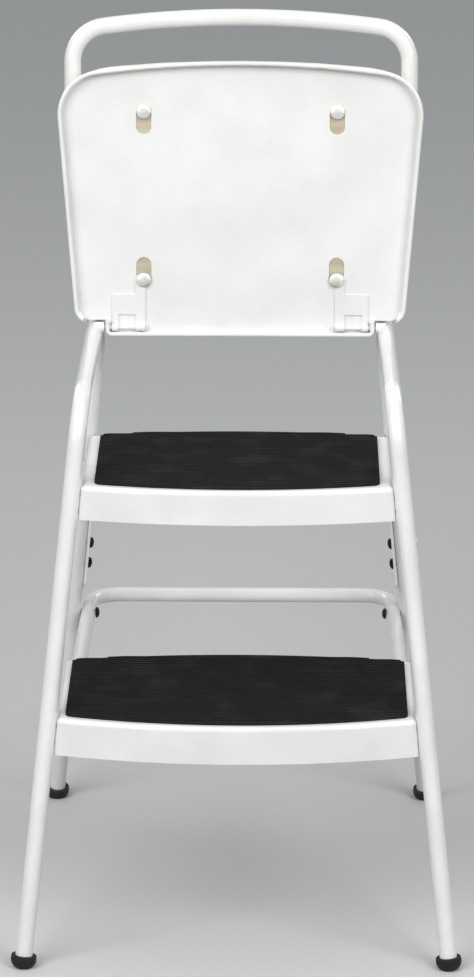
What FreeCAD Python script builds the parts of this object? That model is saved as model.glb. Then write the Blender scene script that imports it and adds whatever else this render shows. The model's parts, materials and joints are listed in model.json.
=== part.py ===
"""Kitchen step stool chair: a welded tube frame with two fixed steps and a seat that flips up.

Millimetres. X is to the viewer's right, Y runs from the front feet to the back, Z is up.
The origin lies on the floor, midway between the front and the rear feet.
The chair is drawn as it stands in use as a ladder, with its seat turned up.
"""
import FreeCAD, Part
import Sketcher
import math
import os
from FreeCAD import Placement, Rotation, Vector

doc = FreeCAD.newDocument("StepStoolChair")
sizes = doc.addObject("Spreadsheet::Sheet", "Sizes")
layout = doc.addObject("Spreadsheet::Sheet", "Layout")

DRIVING_SIZES = {
    "Frame tube": {
        "tubeDiameter": 17.5,
        "frontFootX": 214,
        "frontFootReach": 250,
        "armFrontX": 153.2,
        "armRearX": 150.3,
        "armFrontReach": 195,
        "armHeight": 575,
        "armBendRadius": 52,
        "rearFootX": 203,
        "rearFootReach": 240,
        "neckX": 149,
        "neckBack": 120,
        "neckHeight": 559,
        "neckBendRadius": 120,
        "shoulderX": 174,
        "shoulderDrop": 18,
        "shoulderBendRadius": 110,
        "handleRise": 65,
        "handleCornerRadius": 36,
        "handleCornerFlat": 4,
        "handleBow": 45,
        "handleArch": 14,
        "backReclineAngle": 6.7,
    },
    "Flattened arm end": {
        "tabThickness": 4,
        "tabWidth": 21,
        "tabLoftLength": 34,
        "tabLength": 26,
    },
    "Rubber tips": {
        "tipDiameter": 26,
        "tipHeight": 13,
        "tipBelt": 9,
        "tipRound": 11,
        "tipRimDiameter": 25.2,
        "tipRimRadius": 1,
        "tipFloor": 6,
    },
    "Steps": {
        "lowerStepHeight": 257.7,
        "upperStepHeight": 491.5,
        "stepDepth": 182.5,
        "stepOverhang": 6,
        "stepSheet": 1.6,
        "lowerApronDepth": 38.2,
        "upperApronDepth": 34.2,
        "skirtDepth": 27,
        "stepLegGap": 0.4,
        "stepCornerRadius": 6,
        "stepEdgeRadius": 5,
        "lowerFrontBow": 25,
        "lowerRearBow": 17,
        "upperFrontBow": 17,
        "upperRearBow": 14,
    },
    "Mats": {
        "matThickness": 2.2,
        "lowerMatMargin": 7.5,
        "upperMatMargin": 12.4,
        "matFrontMargin": 8,
        "matRearMargin": 6,
        "matCornerRadius": 8,
        "ribHeight": 0.9,
        "ribWidth": 2.6,
        "ribPitch": 6.4,
        "ribEdge": 5,
    },
    "Rear crossbar": {
        "barDiameter": 15.9,
        "barDrop": 28.7,
        "barBack": 254.1,
        "barBendRadius": 34,
        "barReach": 150,
    },
    "Step braces": {
        "braceThickness": 3,
        "braceWidth": 20,
        "braceFoot": 272,
        "braceBoltIn": 19,
        "braceBoltPitch": 24,
        "braceBend": 436,
        "braceBendRadius": 26,
        "braceReach": 34,
        "braceDrop": 15,
    },
    "Fasteners": {
        "boltDiameter": 6,
        "boltHeadDiameter": 11.5,
        "boltHeadHeight": 4,
        "holeClearance": 0.4,
        "nutDiameter": 11,
        "nutHeight": 8,
        "rivetDiameter": 4.8,
        "rivetHeadDiameter": 8.5,
        "rivetHeadHeight": 1.8,
        "rivetGrip": 11,
        "rivetSetBack": 4,
        "rivetDrop": 11,
        "rivetPitch": 16,
        "screwDiameter": 5,
    },
    "Seat": {
        "seatDepth": 284,
        "seatRearHalf": 168.5,
        "seatFrontHalf": 191.5,
        "seatFrontBow": 22,
        "seatFrontCorner": 46,
        "seatRearCorner": 16,
        "tongueHalf": 138.5,
        "tongueCorner": 6,
        "tongueReach": 13.5,
        "armRoom": 1.5,
        "panSheet": 1.2,
        "panDepth": 10,
        "panEdgeRadius": 4,
        "beadDiameter": 4.5,
        "seatBoard": 9,
        "boardInset": 10,
        "cushionThickness": 32,
        "cushionRearIn": 16,
        "softGap": 0.3,
        "slotX": 99.2,
        "slotWidth": 15.5,
        "slotLength": 31,
        "rearSlotIn": 66,
        "frontSlotIn": 224,
        "seatScrewShift": 8,
        "seatScrewHead": 15.5,
        "seatScrewHeadHeight": 2.6,
    },
    "Seat hinge": {
        "pivotIn": 9,
        "pivotDrop": 4.2,
        "pinDiameter": 4,
        "pinPlay": 0.3,
        "pinGrip": 9,
        "pinHeadDiameter": 6.6,
        "pinHeadHeight": 1.6,
        "knuckleDiameter": 7.6,
        "leafSheet": 1.6,
        "leafX": 102.5,
        "leafWidth": 10,
        "leafEarX": 128.5,
        "leafEarWidth": 6.5,
        "leafWingNear": 13,
        "leafWingFar": 34,
        "pinCollarDiameter": 11,
        "pinCollarLength": 3,
        "seatOnArms": 0.3,
        "seatRestGap": 1,
    },
    "Backrest": {
        "backBottom": 650,
        "backTop": 826,
        "backBoard": 9,
        "backBowRadius": 700,
        "backCorner": 6,
        "backPadEdge": 2,
        "backPadCrown": 22,
        "backScrewIn": 38,
        "backScrewGrip": 16,
        "backScrewHead": 9,
        "backScrewHeadHeight": 2.4,
        "backSideGap": 0.3,
    },
}


def fill_sizes():
    """Write every driving size into the sheet, one alias to a row."""
    row = 1
    for group, values in DRIVING_SIZES.items():
        sizes.set("A%d" % row, group)
        row += 1
        for name, value in values.items():
            sizes.set("A%d" % row, name)
            sizes.set("B%d" % row, str(value))
            sizes.setAlias("B%d" % row, name)
            row += 1
    doc.recompute()


def size(name):
    return float(sizes.get(name))


def put_layout(values):
    """Write places worked out from the driving sizes, so that objects can be bound to them."""
    for row, (name, value) in enumerate(values.items(), start=1):
        layout.set("A%d" % row, name)
        layout.set("B%d" % row, "%.6f" % value)
        layout.setAlias("B%d" % row, name)
    doc.recompute()


def place(name):
    return float(layout.get(name))


fill_sizes()
tube_radius = size("tubeDiameter") / 2
recline = math.radians(size("backReclineAngle"))
# The hoop bends in just under the top of the backrest, and its handle rises above that.
shoulder_height = size("backTop") - size("shoulderDrop")
handle_height = shoulder_height + size("handleRise")


def between(start, end, height):
    """The point of the line from start to end at a given height."""
    share = (height - start.z) / (end.z - start.z)
    return start + (end - start) * share


front_foot = Vector(size("frontFootX"), -size("frontFootReach"), 0)
arm_front = Vector(size("armFrontX"), -size("armFrontReach"), size("armHeight"))
rear_foot = Vector(size("rearFootX"), size("rearFootReach"), 0)
neck = Vector(size("neckX"), size("neckBack"), size("neckHeight"))


def front_leg_at(height):
    return between(front_foot, arm_front, height)


def rear_leg_at(height):
    return between(rear_foot, neck, height)


def upright_at(height):
    """Centre of the right back upright, above the neck."""
    rise = height - size("neckHeight")
    share = min(rise / (shoulder_height - size("neckHeight")), 1)
    x = size("neckX") + (size("shoulderX") - size("neckX")) * share
    return Vector(x, size("neckBack") + rise * math.tan(recline), height)


side_lean = math.atan2(front_foot.x - arm_front.x, arm_front.z - front_foot.z)
side_way = Vector(math.cos(side_lean), 0, math.sin(side_lean))


def step_places(prefix, height):
    """Half width at the top, and the front and rear of a step that fits between the front legs."""
    half = front_leg_at(height).x - (tube_radius + size("stepLegGap")) / math.cos(side_lean)
    front = front_leg_at(height - size(prefix + "ApronDepth") / 2).y - size("stepOverhang")
    return {
        prefix + "StepHalf": half,
        prefix + "StepFront": front,
        prefix + "StepRear": front + size("stepDepth"),
    }


def flange_x(prefix, height, depth_in):
    """X of a step's slanted side at a height, taken in from its outer face by depth_in."""
    drop = size(prefix + "StepHeight") - height
    return place(prefix + "StepHalf") + drop * math.tan(side_lean) - depth_in / math.cos(side_lean)


def bow_radius(half, bow):
    """Radius of an arc that bulges by bow over a chord of twice half."""
    return (half * half + bow * bow) / (2 * bow)


places = {}
places.update(step_places("lower", size("lowerStepHeight")))
places.update(step_places("upper", size("upperStepHeight")))
places["armTop"] = size("armHeight") + tube_radius
places["pivotHeight"] = places["armTop"] + size("seatOnArms") - size("pivotDrop")
places["floorUnder"] = size("pivotDrop")
places["floorTop"] = size("pivotDrop") + size("panSheet")
places["boardTop"] = places["floorTop"] + size("seatBoard")
places["cushionTop"] = places["boardTop"] + size("cushionThickness")
places["seatRear"] = size("pivotIn")
places["seatFront"] = size("pivotIn") - size("seatDepth")
upright_front = size("neckBack") - tube_radius / math.cos(recline)
upright_front += (places["pivotHeight"] - size("neckHeight")) * math.tan(recline)
seat_back_room = (places["cushionTop"] + size("seatRestGap")) / math.cos(recline)
places["pivotBack"] = upright_front - seat_back_room
places["barHeight"] = size("lowerStepHeight") - size("barDrop")
places["seatUpAngle"] = 90 + size("backReclineAngle")
put_layout(places)

pivot = Vector(0, place("pivotBack"), place("pivotHeight"))
parts = []


def keep(item, label):
    """Give a finished sub-part its name and list it for export."""
    item.Label = label
    parts.append(item)
    return item


def shape_part(label, shape, placement=None):
    """A sub-part whose shape is built here from the sheet's sizes."""
    item = doc.addObject("Part::Feature", label)
    item.Shape = shape
    if placement is not None:
        item.Placement = placement
    return keep(item, label)


def mirror_part(source, label):
    """The left-hand twin of a right-hand sub-part."""
    twin = doc.addObject("Part::Mirroring", label)
    twin.Source = source
    twin.Normal = Vector(1, 0, 0)
    twin.Base = Vector(0, 0, 0)
    return keep(twin, label)


def seat_turned_up():
    """Where the seat's own frame, with the hinge pin at its origin, stands when the seat is up."""
    return Placement(pivot, Rotation(Vector(-1, 0, 0), place("seatUpAngle")))


def rounded_path(points, radii, closed=False):
    """Straight runs through the points, joined by tangent arcs of the given radii."""
    count = len(points)
    corners = range(count) if closed else range(1, count - 1)
    edges = []
    first = None
    start = None if closed else points[0]
    for corner, radius in zip(corners, radii):
        here = points[corner]
        back = (points[corner - 1] - here).normalize()
        ahead = (points[(corner + 1) % count] - here).normalize()
        half_turn = math.acos(max(-1.0, min(1.0, -back.dot(ahead)))) / 2
        reach = radius * math.tan(half_turn)
        middle_way = (back + ahead).normalize()
        middle = here + middle_way * (radius / math.cos(half_turn) - radius)
        arc = Part.Arc(here + back * reach, middle, here + ahead * reach).toShape()
        if start is None:
            first = here + back * reach
        else:
            edges.append(Part.LineSegment(start, here + back * reach).toShape())
        edges.append(arc)
        start = here + ahead * reach
    last = first if closed else points[-1]
    edges.append(Part.LineSegment(start, last).toShape())
    return Part.Wire(edges)


def sweep_tube(path, diameter):
    """A round tube along a path, checked against its section times its length."""
    start = path.Edges[0].firstVertex().Point
    heading = path.Edges[0].tangentAt(path.Edges[0].FirstParameter)
    ring = Part.Wire([Part.Circle(start, heading, diameter / 2).toShape()])
    tube = path.makePipeShell([ring], True, False)
    expected = math.pi * diameter ** 2 / 4 * path.Length
    if abs(tube.Volume - expected) > expected * 0.001:
        raise ValueError("a swept tube has the wrong volume")
    return tube


def point_on_path(path, height):
    """Where the right half of a path crosses a height."""
    span = 2 * handle_height
    level = Part.makePlane(span, 2 * span, Vector(0, -span, height))
    return path.distToShape(level)[1][0][0]


def rod(start, end, diameter):
    way = end - start
    return Part.makeCylinder(diameter / 2, way.Length, start, way)


def drill(shape, start, end, diameter):
    return shape.cut(rod(start, end, diameter))


def turned(profile, base, way):
    """A solid of revolution: (radius, distance) points spun about an axis from base along way."""
    points = [Vector(radius, 0, along) for radius, along in profile]
    points.append(points[0])
    solid = Part.Face(Part.makePolygon(points)).revolve(Vector(), Vector(0, 0, 1), 360)
    solid.Placement = Placement(base, Rotation(Vector(0, 0, 1), way))
    return solid


def domed_profile(radius, height, steps=4):
    """Half outline of a domed head that rises from its rim to its crown."""
    outline = []
    for step in range(steps + 1):
        turn = math.pi / 2 * step / steps
        outline.append((radius * math.cos(turn), height * (0.3 + 0.7 * math.sin(turn))))
    outline[-1] = (0, outline[-1][1])
    return outline


def headed_pin(head_seat, way, grip, diameter, head_diameter, head_height):
    """A pin whose domed head sits at head_seat and whose shank runs along way."""
    way = Vector(way).normalize()
    dome = [(0, 0), (head_diameter / 2, 0)] + domed_profile(head_diameter / 2, head_height)
    head = turned(dome, head_seat, way * -1)
    return head.fuse(rod(head_seat, head_seat + way * grip, diameter)).removeSplitter()


def blind_rivet(head_seat, way):
    """A rivet with one visible head, its shank ending inside the tube."""
    return headed_pin(head_seat, way, size("rivetGrip"), size("rivetDiameter"),
                      size("rivetHeadDiameter"), size("rivetHeadHeight"))


def cap_nut(seat, way):
    """A domed nut on the far side of a bolt, bored for the bolt's end."""
    radius = size("nutDiameter") / 2
    hexagon = [Vector(radius * math.cos(math.radians(60 * i)), radius * math.sin(math.radians(60 * i)), 0)
               for i in range(7)]
    block = Part.Face(Part.makePolygon(hexagon)).extrude(Vector(0, 0, size("nutHeight") / 2))
    dome = [(0, 0), (radius * 0.8, 0), (radius * 0.8, size("nutHeight") * 0.6),
            (radius * 0.5, size("nutHeight") * 0.93), (0, size("nutHeight"))]
    nut = block.fuse(turned(dome, Vector(), Vector(0, 0, 1)))
    nut = nut.cut(rod(Vector(), Vector(0, 0, size("nutHeight") / 2), size("boltDiameter")))
    nut.Placement = Placement(seat, Rotation(Vector(0, 0, 1), Vector(way)))
    return nut


def both_sides(shapes):
    """The given right-hand shapes and their mirror images, as one group of separate solids."""
    mirrored = [shape.mirror(Vector(), Vector(1, 0, 0)) for shape in shapes]
    return Part.makeCompound(list(shapes) + mirrored)


# Rear frame: one bent tube from foot to foot, with the handle bar at the top.
handle_corner = upright_at(handle_height)
shoulder = upright_at(shoulder_height)
handle_middle = handle_corner + Vector(-size("shoulderX"), size("handleBow"), size("handleArch"))
handle_run = (handle_middle - handle_corner).Length - size("handleCornerRadius") - size("handleCornerFlat")
handle_swing = math.atan2(math.hypot(size("handleBow"), size("handleArch")), size("shoulderX"))
handle_bow_radius = handle_run / math.tan(handle_swing)


def mirrored_point(point):
    return Vector(-point.x, point.y, point.z)


right_points = [rear_leg_at(size("tipFloor")), neck, shoulder, handle_corner]
rear_points = right_points + [handle_middle] + [mirrored_point(p) for p in reversed(right_points)]
side_radii = [size("neckBendRadius"), size("shoulderBendRadius"), size("handleCornerRadius")]
rear_path = rounded_path(rear_points, side_radii + [handle_bow_radius] + side_radii[::-1])
rear_solid = sweep_tube(rear_path, size("tubeDiameter"))
arm_joint = point_on_path(rear_path, size("armHeight"))

# Right front leg: foot, front bend, arm and a flattened end on the inner side of the upright.
joint_heights = [size("armHeight") + size("tabWidth") * step for step in (-0.5, -0.25, 0, 0.25, 0.5)]
inmost = min(point_on_path(rear_path, height).x for height in joint_heights)
tab_x = inmost - tube_radius - size("tabThickness") / 2 - 0.1
arm_end_y = arm_joint.y - size("tabLength") / 2 - size("tabLoftLength")
arm_end = Vector(size("armRearX"), arm_end_y, size("armHeight"))
front_path = rounded_path([front_leg_at(size("tipFloor")), arm_front, arm_end], [size("armBendRadius")])
front_tube = sweep_tube(front_path, size("tubeDiameter"))


def flattened_end():
    """The stretch where the round arm is pressed flat, and the flat tab with its rounded end."""
    arm_way = (arm_end - arm_front).normalize()
    circle = Part.Circle(arm_end, arm_way, tube_radius)
    circle.XAxis = Vector(0, 0, 1)
    ellipse = Part.Ellipse()
    ellipse.Center = Vector(tab_x, arm_end_y + size("tabLoftLength"), size("armHeight"))
    ellipse.MajorRadius = size("tabWidth") / 2 - 0.2
    ellipse.MinorRadius = size("tabThickness") / 2 - 0.2
    ellipse.Axis = Vector(0, 1, 0)
    ellipse.XAxis = Vector(0, 0, 1)
    pressed = Part.makeLoft([Part.Wire([circle.toShape()]), Part.Wire([ellipse.toShape()])], True, False)
    flat_x = tab_x - size("tabThickness") / 2
    half = size("tabWidth") / 2
    low = size("armHeight") - half
    high = size("armHeight") + half
    flat_start = ellipse.Center.y - 1.5
    corners = [Vector(flat_x, flat_start, high), Vector(flat_x, flat_start, low),
               Vector(flat_x, arm_joint.y, low), Vector(flat_x, arm_joint.y, high)]
    edges = [Part.LineSegment(corners[index], corners[index + 1]).toShape() for index in (0, 1)]
    round_end = Vector(flat_x, arm_joint.y + half, size("armHeight"))
    edges.append(Part.Arc(corners[2], round_end, corners[3]).toShape())
    edges.append(Part.LineSegment(corners[3], corners[0]).toShape())
    flat = Part.Face(Part.Wire(edges)).extrude(Vector(size("tabThickness"), 0, 0))
    return [pressed, flat]


front_leg = front_tube.fuse(flattened_end())

# Places of the bolts, worked out once for the holes, the bolts and their nuts.
bolt_hole = size("boltDiameter") + size("holeClearance")
rivet_hole = size("rivetDiameter")
arm_bolt_seat = Vector(tab_x - size("tabThickness") / 2, arm_joint.y, size("armHeight"))
arm_bolt_end = Vector(arm_joint.x + tube_radius, arm_joint.y, size("armHeight"))


# Step braces: a stamped strip down each rear leg, turned forward to carry the upper step.
def brace_centres():
    """Foot, bend and tip of the right brace's middle line."""
    leg_way = (neck - rear_foot).normalize()
    inward = Vector(-1, 0, 0) - leg_way * Vector(-1, 0, 0).dot(leg_way)
    inward.normalize()
    shift = inward * (tube_radius + size("braceThickness") / 2 + 0.1)
    foot = rear_leg_at(size("braceFoot")) + shift
    bend = rear_leg_at(size("braceBend")) + shift
    tip_y = place("upperStepRear") - size("braceReach")
    tip_z = size("upperStepHeight") - size("braceDrop")
    tip_x = flange_x("upper", tip_z, size("stepSheet") + size("braceThickness") / 2) - 0.7
    tip = Vector(tip_x, tip_y, tip_z)
    return foot, bend, tip


brace_foot, brace_bend, brace_tip = brace_centres()
brace_normal = (brace_bend - brace_foot).cross(brace_tip - brace_bend).normalize()
if brace_normal.x > 0:
    brace_normal = brace_normal * -1


def brace_shape(spare=0):
    """The brace, or with some spare the room that it needs where it passes through the step's skirt."""
    path = rounded_path([brace_foot, brace_bend, brace_tip], [size("braceBendRadius")])
    heading = (brace_bend - brace_foot).normalize()
    across = heading.cross(brace_normal) * (size("braceWidth") / 2 + spare)
    through = brace_normal * (size("braceThickness") / 2 + spare)
    corners = [brace_foot + across + through, brace_foot - across + through,
               brace_foot - across - through, brace_foot + across - through]
    section = Part.makePolygon(corners + [corners[0]])
    strip = path.makePipeShell([section], True, False)
    if spare:
        return strip
    ends = []
    for end in (brace_foot, brace_tip):
        ends.append(Part.makeCylinder(size("braceWidth") / 2, size("braceThickness"), end - through, brace_normal))
    return strip.fuse(ends).removeSplitter()


def brace_bolt_line(height):
    """Inner seat and outer end of a brace bolt that crosses the rear leg at a height."""
    centre = rear_leg_at(height)
    inner = centre + brace_normal * (tube_radius + size("braceThickness") + 0.1)
    outer = centre - brace_normal * tube_radius
    return inner, outer


lower_bolt = size("braceFoot") + size("braceBoltIn")
brace_bolts = [brace_bolt_line(lower_bolt), brace_bolt_line(lower_bolt + size("braceBoltPitch"))]

# Rear crossbar: a U of thinner tube behind the rear legs, its arms carrying the lower step.
bar_radius = size("barDiameter") / 2
bar_leg = rear_leg_at(place("barHeight"))
rear_lean = (neck - rear_foot).normalize()
bar_x = bar_leg.x - tube_radius / math.hypot(rear_lean.y, rear_lean.z) - bar_radius - 0.1
bar_front_x = flange_x("lower", place("barHeight"), size("stepSheet")) - bar_radius / math.cos(side_lean) - 0.1
bar_front_y = place("lowerStepRear") - size("barReach")
bar_points = [Vector(bar_front_x, bar_front_y, place("barHeight")),
              Vector(bar_x, bar_leg.y, place("barHeight")),
              Vector(bar_x, size("barBack"), place("barHeight"))]
bar_points += [mirrored_point(p) for p in reversed(bar_points)]
bar_turn = [400, size("barBendRadius")]
bar_path = rounded_path(bar_points, bar_turn + bar_turn[::-1])
bar_bolt = (Vector(bar_x - bar_radius, bar_leg.y, place("barHeight")),
            Vector(bar_leg.x + tube_radius * 1.005, bar_leg.y, place("barHeight")))


# Rivets that hold the steps to the front legs, the braces and the crossbar's arms.
def leg_rivet(prefix, drop):
    """Head seat inside a step's side, and the rivet's end inside the leg."""
    height = size(prefix + "StepHeight") - drop
    leg = front_leg_at(height) + Vector(0, size("rivetSetBack"), 0)
    seat = leg - side_way * (tube_radius + size("stepLegGap") + size("stepSheet"))
    return seat, seat + side_way * size("rivetGrip")


def flange_rivet(prefix, y, height):
    """Head seat outside a step's side, and the rivet's end inside the part behind it."""
    seat = Vector(flange_x(prefix, height, 0), y, height)
    return seat, seat - side_way * size("rivetGrip")


rivet_drops = (size("rivetDrop"), size("rivetDrop") + size("rivetPitch"))
lower_rivets = [leg_rivet("lower", drop) for drop in rivet_drops]
upper_rivets = [leg_rivet("upper", drop) for drop in rivet_drops]
for share in (0.15, 0.62):
    along = bar_points[0].y + size("barReach") * share
    lower_rivets.append(flange_rivet("lower", along, place("barHeight")))
brace_rivet = flange_rivet("upper", brace_tip.y, brace_tip.z)
upper_rivets.append((brace_rivet[0], brace_rivet[0] - side_way * (size("stepSheet") + size("braceThickness"))))

# Backrest screws, through the uprights and along the bowed board.
def board_sag(x):
    """How far the backrest board lies behind the uprights' line at x."""
    radius = size("backBowRadius")
    reach = size("shoulderX")
    return math.sqrt(radius * radius - x * x) - math.sqrt(radius * radius - reach * reach)


def back_screw(height):
    upright = upright_at(height)
    edge_x = upright.x - tube_radius
    tip_x = edge_x - size("backScrewGrip")
    edge = Vector(edge_x, upright.y + board_sag(edge_x), height)
    tip = Vector(tip_x, upright.y + board_sag(tip_x), height)
    way = (edge - tip).normalize()
    start = edge - upright
    reach = start.dot(way)
    outer = edge + way * (math.sqrt(reach ** 2 - start.dot(start) + tube_radius ** 2) - reach)
    return outer, tip


back_screws = [back_screw(size("backBottom") + size("backScrewIn")),
               back_screw(size("backTop") - size("backScrewIn"))]


def drill_all(shape, lines, diameter):
    for start, end in lines:
        way = (end - start).normalize() * 3
        shape = drill(shape, start - way, end + way, diameter)
    return shape


def mirrored_lines(lines):
    return [(mirrored_point(a), mirrored_point(b)) for a, b in lines]


frame_lines = brace_bolts + [bar_bolt, (arm_bolt_seat, arm_bolt_end)]
rear_tube = drill_all(rear_solid, frame_lines + mirrored_lines(frame_lines), bolt_hole)
rear_tube = drill_all(rear_tube, back_screws + mirrored_lines(back_screws), size("screwDiameter"))
shape_part("rear_frame", rear_tube)

front_leg = drill_all(front_leg, lower_rivets[:2] + upper_rivets[:2], rivet_hole)
front_leg = drill(front_leg, arm_bolt_seat, arm_bolt_end, bolt_hole)

brace = drill_all(brace_shape(), brace_bolts, bolt_hole)
brace = drill_all(brace, [brace_rivet], rivet_hole)
room_low = size("upperStepHeight") - 2 * size("upperApronDepth")
flange_room = Part.makeBox(2 * size("braceWidth"), 2 * size("stepDepth"), 3 * size("upperApronDepth"))
flange_room.Placement = Placement(
    Vector(flange_x("upper", room_low, size("stepSheet")) - 0.1, -size("stepDepth"), room_low),
    Rotation(Vector(0, 1, 0), -math.degrees(side_lean)))
brace = brace.cut(flange_room)
brace_right = shape_part("step_brace_right", brace)
mirror_part(brace_right, "step_brace_left")

bar = sweep_tube(bar_path, size("barDiameter"))
bar = drill_all(bar, [bar_bolt] + mirrored_lines([bar_bolt]), bolt_hole)
bar = drill_all(bar, lower_rivets[2:] + mirrored_lines(lower_rivets[2:]), rivet_hole)
shape_part("rear_crossbar", bar)


# Rubber tips: a turned cup on each tube end, ground flat where it stands on the floor.
def foot_tip(label, foot, leg_end):
    body = doc.addObject("PartDesign::Body", label + "_cup")
    sketch = body.newObject("Sketcher::SketchObject", label + "_profile")
    plane = next(f for f in body.Origin.OriginFeatures if f.Role == "XZ_Plane")
    sketch.AttachmentSupport = [(plane, "")]
    sketch.MapMode = "FlatFace"
    outer = size("tipDiameter") / 2
    rim = size("tipRimDiameter") / 2
    belt = size("tipBelt")
    middle = outer - size("tipRound")
    bottom = belt - math.sqrt(size("tipRound") ** 2 - middle ** 2)
    bowl = Part.Circle(Vector(middle, belt, 0), Vector(0, 0, 1), size("tipRound"))
    sketch.addGeometry(Part.ArcOfCircle(bowl, math.atan2(bottom - belt, -middle), 0), False)
    corners = [(outer, belt), (rim, size("tipHeight")), (tube_radius, size("tipHeight")),
               (tube_radius, size("tipFloor")), (0, size("tipFloor")), (0, bottom)]
    for start, end in zip(corners, corners[1:]):
        sketch.addGeometry(Part.LineSegment(Vector(start[0], start[1], 0), Vector(end[0], end[1], 0)), False)
    last = len(corners) - 1
    sketch.addConstraint(Sketcher.Constraint("Coincident", 0, 2, 1, 1))
    for index in range(1, last):
        sketch.addConstraint(Sketcher.Constraint("Coincident", index, 2, index + 1, 1))
    sketch.addConstraint(Sketcher.Constraint("Coincident", last, 2, 0, 1))
    for index in (2, 4):
        sketch.addConstraint(Sketcher.Constraint("Horizontal", index))
    for index in (3, 5):
        sketch.addConstraint(Sketcher.Constraint("Vertical", index))
    sketch.addConstraint(Sketcher.Constraint("PointOnObject", last, 2, -2))
    bound = [("DistanceX", 1, 1, "tipRadius", "Sizes.tipDiameter / 2", outer),
             ("DistanceY", 1, 1, "tipBelt", "Sizes.tipBelt", belt),
             ("DistanceX", 1, 2, "rimRadius", "Sizes.tipRimDiameter / 2", rim),
             ("DistanceY", 1, 2, "rimHeight", "Sizes.tipHeight", size("tipHeight")),
             ("DistanceX", 2, 2, "tubeRadius", "Sizes.tubeDiameter / 2", tube_radius),
             ("DistanceY", 3, 2, "tubeEnd", "Sizes.tipFloor", size("tipFloor")),
             ("DistanceY", 0, 3, "bowlHeight", "Sizes.tipBelt", belt)]
    for kind, geometry, point, name, expression, value in bound:
        index = sketch.addConstraint(Sketcher.Constraint(kind, -1, 1, geometry, point, value))
        sketch.renameConstraint(index, name)
        sketch.setExpression("Constraints." + name, expression)
    index = sketch.addConstraint(Sketcher.Constraint("Radius", 0, size("tipRound")))
    sketch.setExpression("Constraints[%d]" % index, "Sizes.tipRound")
    doc.recompute()
    spin = body.newObject("PartDesign::Revolution", label + "_turned")
    spin.Profile = sketch
    spin.ReferenceAxis = (sketch, ["V_Axis"])
    spin.Angle = 360
    doc.recompute()
    softened = body.newObject("PartDesign::Fillet", label + "_edges")
    rims = [edge_name(spin.Shape, edge) for edge in spin.Shape.Edges
            if is_circle_at(edge, rim, size("tipHeight"))]
    softened.Base = (spin, rims)
    softened.setExpression("Radius", "Sizes.tipRimRadius")
    body.Tip = softened
    body.Placement = Placement(foot, Rotation(Vector(0, 0, 1), leg_end - foot))
    ground = doc.addObject("Part::Box", label + "_ground")
    ground.Length = ground.Width = 4 * size("tipDiameter")
    ground.Height = size("tipDiameter")
    ground.Placement.Base = foot - Vector(2 * size("tipDiameter"), 2 * size("tipDiameter"), size("tipDiameter"))
    cut = doc.addObject("Part::Cut", label)
    cut.Base = body
    cut.Tool = ground
    return keep(cut, label)


def edge_name(shape, edge):
    for index, other in enumerate(shape.Edges, start=1):
        if other.isSame(edge):
            return "Edge%d" % index
    raise ValueError("edge not found")


def is_circle_at(edge, radius, height):
    if edge.Degenerated:
        return False
    curve = edge.Curve
    if curve.TypeId != "Part::GeomCircle":
        return False
    return abs(curve.Radius - radius) < 1e-4 and abs(curve.Center.z - height) < 1e-4


for side, foot_point, top_point in (("front", front_foot, arm_front), ("rear", rear_foot, neck)):
    tip_right = foot_tip(side + "_foot_right", foot_point, top_point)
    mirror_part(tip_right, side + "_foot_left")


# Steps and mats: a bowed outline, drawn as a sketch of two lines and two arcs.
def bowed_sketch(body, name, half, front, rear, front_bow, rear_bow):
    """Sketch of a plate with straight sides and outward-bowed front and rear edges."""
    sketch = body.newObject("Sketcher::SketchObject", name)
    plane = next(f for f in body.Origin.OriginFeatures if f.Role == "XY_Plane")
    sketch.AttachmentSupport = [(plane, "")]
    sketch.MapMode = "FlatFace"
    front_radius = bow_radius(half, front_bow)
    rear_radius = bow_radius(half, rear_bow)
    front_centre = Vector(0, front - front_bow + front_radius, 0)
    rear_centre = Vector(0, rear + rear_bow - rear_radius, 0)
    swing = math.asin(half / front_radius)
    rear_swing = math.asin(half / rear_radius)
    down = -math.pi / 2
    sketch.addGeometry(Part.ArcOfCircle(Part.Circle(front_centre, Vector(0, 0, 1), front_radius),
                                        down - swing, down + swing), False)
    sketch.addGeometry(Part.LineSegment(Vector(half, front, 0), Vector(half, rear, 0)), False)
    sketch.addGeometry(Part.ArcOfCircle(Part.Circle(rear_centre, Vector(0, 0, 1), rear_radius),
                                        -down - rear_swing, -down + rear_swing), False)
    sketch.addGeometry(Part.LineSegment(Vector(-half, rear, 0), Vector(-half, front, 0)), False)
    for first, second in ((0, 1), (1, 2), (2, 3), (3, 0)):
        sketch.addConstraint(Sketcher.Constraint("Coincident", first, 2, second, 1))
    sketch.addConstraint(Sketcher.Constraint("Vertical", 1))
    sketch.addConstraint(Sketcher.Constraint("Vertical", 3))
    sketch.addConstraint(Sketcher.Constraint("Symmetric", 0, 1, 0, 2, -2))
    sketch.addConstraint(Sketcher.Constraint("PointOnObject", 2, 3, -2))
    sketch.addConstraint(Sketcher.Constraint("DistanceX", 0, 1, 0, 2, 2 * half))
    sketch.addConstraint(Sketcher.Constraint("DistanceY", 0, 1, -1, 1, -front))
    sketch.addConstraint(Sketcher.Constraint("DistanceY", 1, 1, 1, 2, rear - front))
    sketch.addConstraint(Sketcher.Constraint("Radius", 0, front_radius))
    sketch.addConstraint(Sketcher.Constraint("Radius", 2, rear_radius))
    return sketch


def upright_edges(shape):
    """Names of the straight edges that run up the corners of a padded plate."""
    names = []
    for index, edge in enumerate(shape.Edges, start=1):
        line = edge.Curve.TypeId == "Part::GeomLine"
        if line and abs(edge.tangentAt(edge.FirstParameter).z) > 0.999:
            names.append("Edge%d" % index)
    return names


def side_faces(shape):
    """Names of the two flat faces that look along X."""
    names = []
    for index, face in enumerate(shape.Faces, start=1):
        if face.BoundBox.XLength < 1e-4:
            names.append("Face%d" % index)
    return names


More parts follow.
